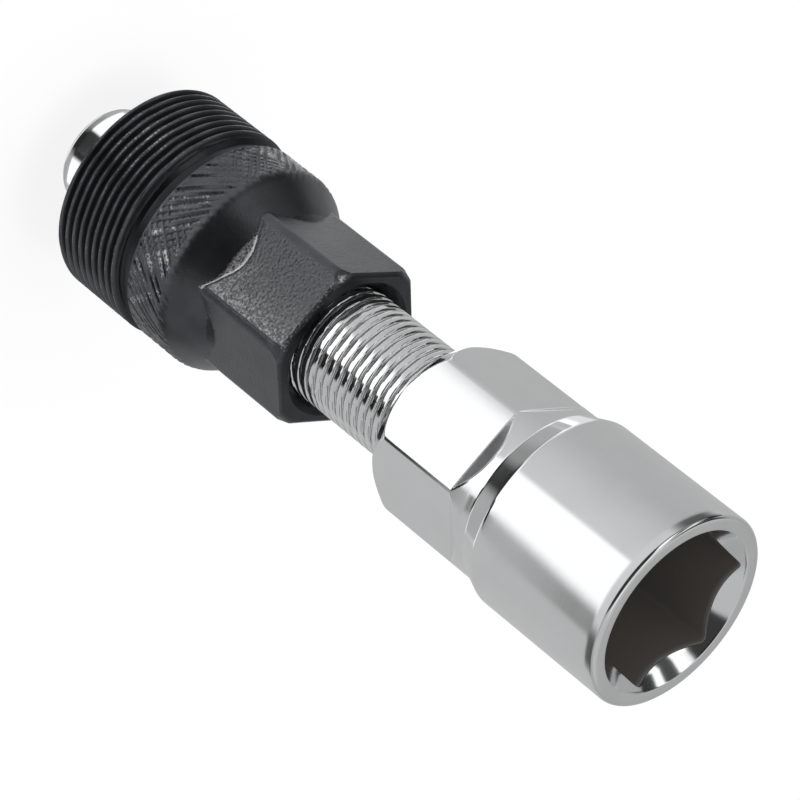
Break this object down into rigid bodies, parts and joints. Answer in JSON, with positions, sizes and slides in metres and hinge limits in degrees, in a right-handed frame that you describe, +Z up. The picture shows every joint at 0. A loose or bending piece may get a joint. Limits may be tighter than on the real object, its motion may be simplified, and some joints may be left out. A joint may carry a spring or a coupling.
{
  "type": "bicycle crank puller",
  "caption": "Screw puller for square-taper bicycle cranks: black threaded body with knurled collar and hexagon, chromed spindle with wrench flats, bolt socket and swivelling push tip.",
  "frame": {"origin": "on the surface that the tool stands on, under the middle of its swivel tip", "axes": "+Z up along the screw axis, from the swivel tip to the socket mouth, +Y square to two flats of each wrench hexagon"},
  "size_m": [0.022, 0.022, 0.0807],
  "materials": {
    "black_oxide_steel": "black oxide on forged and turned steel, satin, worn bright on the knurl and edges",
    "spindle_chrome": "bright chrome plate over turned and milled steel",
    "tip_chrome": "bright chrome plate, polished",
    "spring_wire": "bare spring wire"
  },
  "bodies": {
    "extractor_body": {"extractor_body": "black_oxide_steel"},
    "retaining_ring": {"tip_retaining_ring": "spring_wire"},
    "drive_spindle": {"drive_spindle": "spindle_chrome"},
    "swivel_tip": {"swivel_tip": "tip_chrome"}
  },
  "joints": [
    {"name": "tip_swivel", "type": "hinge", "parent": "swivel_tip", "child": "drive_spindle", "pos_m": [0, 0, 0.003], "axis": [0, 0, 1], "continuous": true},
    {"name": "spindle_turn", "type": "hinge", "parent": "drive_spindle", "child": "retaining_ring", "pos_m": [0, 0, 0.02], "axis": [0, 0, 1], "range_deg": [-2377, 4501]},
    {"name": "spindle_travel", "type": "slide", "parent": "retaining_ring", "child": "extractor_body", "axis": [0, 0, 1], "range_m": [-0.0066, 0.0125]}
  ],
  "couplings": [
    {"joint": "spindle_turn", "follows": "spindle_travel", "rad_per_m": 6283.2}
  ]
}
